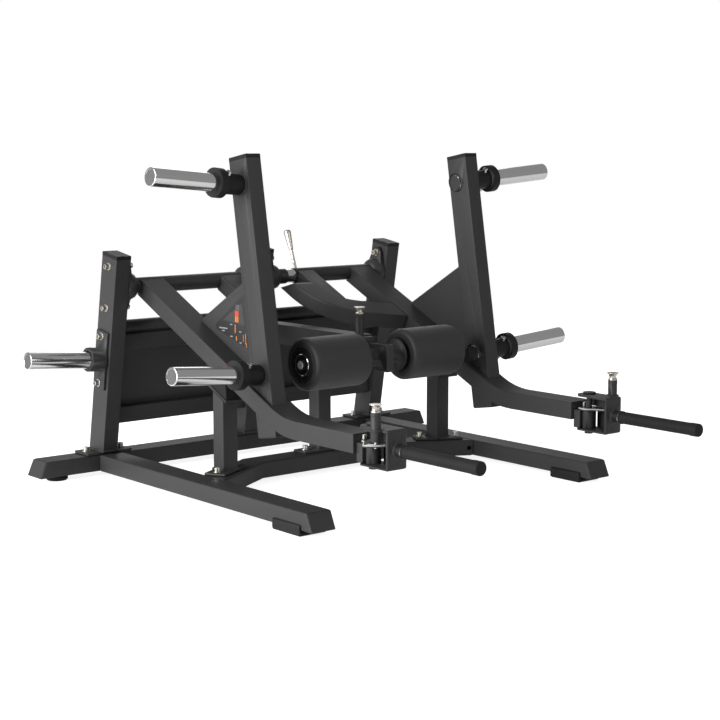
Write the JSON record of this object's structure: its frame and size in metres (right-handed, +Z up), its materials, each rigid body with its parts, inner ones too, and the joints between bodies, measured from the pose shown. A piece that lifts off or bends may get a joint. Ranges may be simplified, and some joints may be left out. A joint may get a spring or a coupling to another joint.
{
  "type": "plate-loaded deadlift machine",
  "caption": "Floor-standing lift machine with separately pivoting levers, weight pegs, swivelling handles and foam rollers on a sliding carriage.",
  "frame": {"origin": "middle of the machine's box at floor level", "axes": "+Z up, -Y towards the handles, +X to the right seen from the handles' side looking along +Y"},
  "size_m": [1.5938, 1.561, 0.9596],
  "materials": {
    "powder": "matt black powder coat",
    "chrome": "bright chrome",
    "steel": "satin zinc-plated steel",
    "rubber": "matt black rubber",
    "foam": "closed-cell foam with a fine skin",
    "moulded": "moulded black plastic",
    "bronze": "plain bearing bronze"
  },
  "bodies": {
    "frame": {"rear_crossbeam": "powder", "mid_crossbeam": "powder", "left_side_rail": "powder", "right_side_rail": "powder", "left_upright": "powder", "right_upright": "powder", "centre_upright": "powder", "lower_rail": "powder", "upper_rail": "powder", "rear_panel": "powder", "left_storage_bracket": "powder", "right_storage_bracket": "powder", "left_storage_peg": "chrome", "right_storage_peg": "chrome", "left_front_post": "powder", "right_front_post": "powder", "left_rest_buffer": "rubber", "right_rest_buffer": "rubber", "centre_post": "powder", "slide_sleeve": "powder", "left_outer_bearing": "powder", "right_outer_bearing": "powder", "left_centre_bearing": "powder", "right_centre_bearing": "powder", "left_front_foot": "moulded", "right_front_foot": "moulded", "left_rear_foot": "rubber", "right_rear_foot": "rubber"},
    "left_lever": {"pivot_shaft": "powder", "left_pivot_tube": "powder", "left_lever_arm": "powder", "left_weight_arm": "powder", "left_gusset": "powder", "left_yoke": "powder", "left_upper_weight_peg": "chrome", "left_lower_weight_peg": "chrome", "left_index_plate": "steel"},
    "right_lever": {"right_pivot_tube": "powder", "spigot_bush": "bronze", "right_lever_arm": "powder", "right_weight_arm": "powder", "right_gusset": "powder", "right_yoke": "powder", "right_upper_weight_peg": "chrome", "right_lower_weight_peg": "chrome", "right_index_plate": "steel"},
    "coupling": {"coupling_sleeve": "chrome", "coupling_handle": "steel"},
    "left_handle": {"left_swivel_bracket": "powder", "left_swivel_bolt": "powder", "left_grip": "rubber"},
    "right_handle": {"right_swivel_bracket": "powder", "right_swivel_bolt": "powder", "right_grip": "rubber"},
    "left_handle_pin": {"left_pull_pin": "steel"},
    "right_handle_pin": {"right_pull_pin": "steel"},
    "carriage": {"roller_carriage": "powder"},
    "left_foam_roller": {"left_roller": "foam"},
    "right_foam_roller": {"right_roller": "foam"},
    "slide_pin": {"slide_pull_pin": "steel"}
  },
  "joints": [
    {"name": "left_lift", "type": "hinge", "parent": "frame", "child": "left_lever", "pos_m": [-0.4025, 0.65419, 0.5715], "axis": [-1, 0, 0], "range_deg": [0, 50]},
    {"name": "right_lift", "type": "hinge", "parent": "frame", "child": "right_lever", "pos_m": [0.4025, 0.65419, 0.5715], "axis": [-1, 0, 0], "range_deg": [0, 50]},
    {"name": "coupling_slide", "type": "slide", "parent": "right_lever", "child": "coupling", "axis": [1, 0, 0], "range_m": [0, 0.12]},
    {"name": "left_swivel", "type": "hinge", "parent": "left_lever", "child": "left_handle", "pos_m": [-0.4025, -0.3885, 0.232], "axis": [0, 0, 1], "range_deg": [-18, 18]},
    {"name": "right_swivel", "type": "hinge", "parent": "right_lever", "child": "right_handle", "pos_m": [0.4025, -0.3885, 0.232], "axis": [0, 0, 1], "range_deg": [-18, 18]},
    {"name": "left_pin_pull", "type": "slide", "parent": "left_handle", "child": "left_handle_pin", "axis": [0, 0, 1], "range_m": [0, 0.01], "stiffness_N_per_m": 600, "springref_m": -0.01},
    {"name": "right_pin_pull", "type": "slide", "parent": "right_handle", "child": "right_handle_pin", "axis": [0, 0, 1], "range_m": [0, 0.01], "stiffness_N_per_m": 600, "springref_m": -0.01},
    {"name": "carriage_slide", "type": "slide", "parent": "frame", "child": "carriage", "axis": [0, -1, 0], "range_m": [0, 0.12]},
    {"name": "slide_pin_pull", "type": "slide", "parent": "frame", "child": "slide_pin", "axis": [0, 0, 1], "range_m": [0, 0.01], "stiffness_N_per_m": 600, "springref_m": -0.01},
    {"name": "left_roller_spin", "type": "hinge", "parent": "carriage", "child": "left_foam_roller", "pos_m": [-0.18, 0.0635, 0.3795], "axis": [1, 0, 0], "continuous": true},
    {"name": "right_roller_spin", "type": "hinge", "parent": "carriage", "child": "right_foam_roller", "pos_m": [0.18, 0.0635, 0.3795], "axis": [1, 0, 0], "continuous": true}
  ]
}
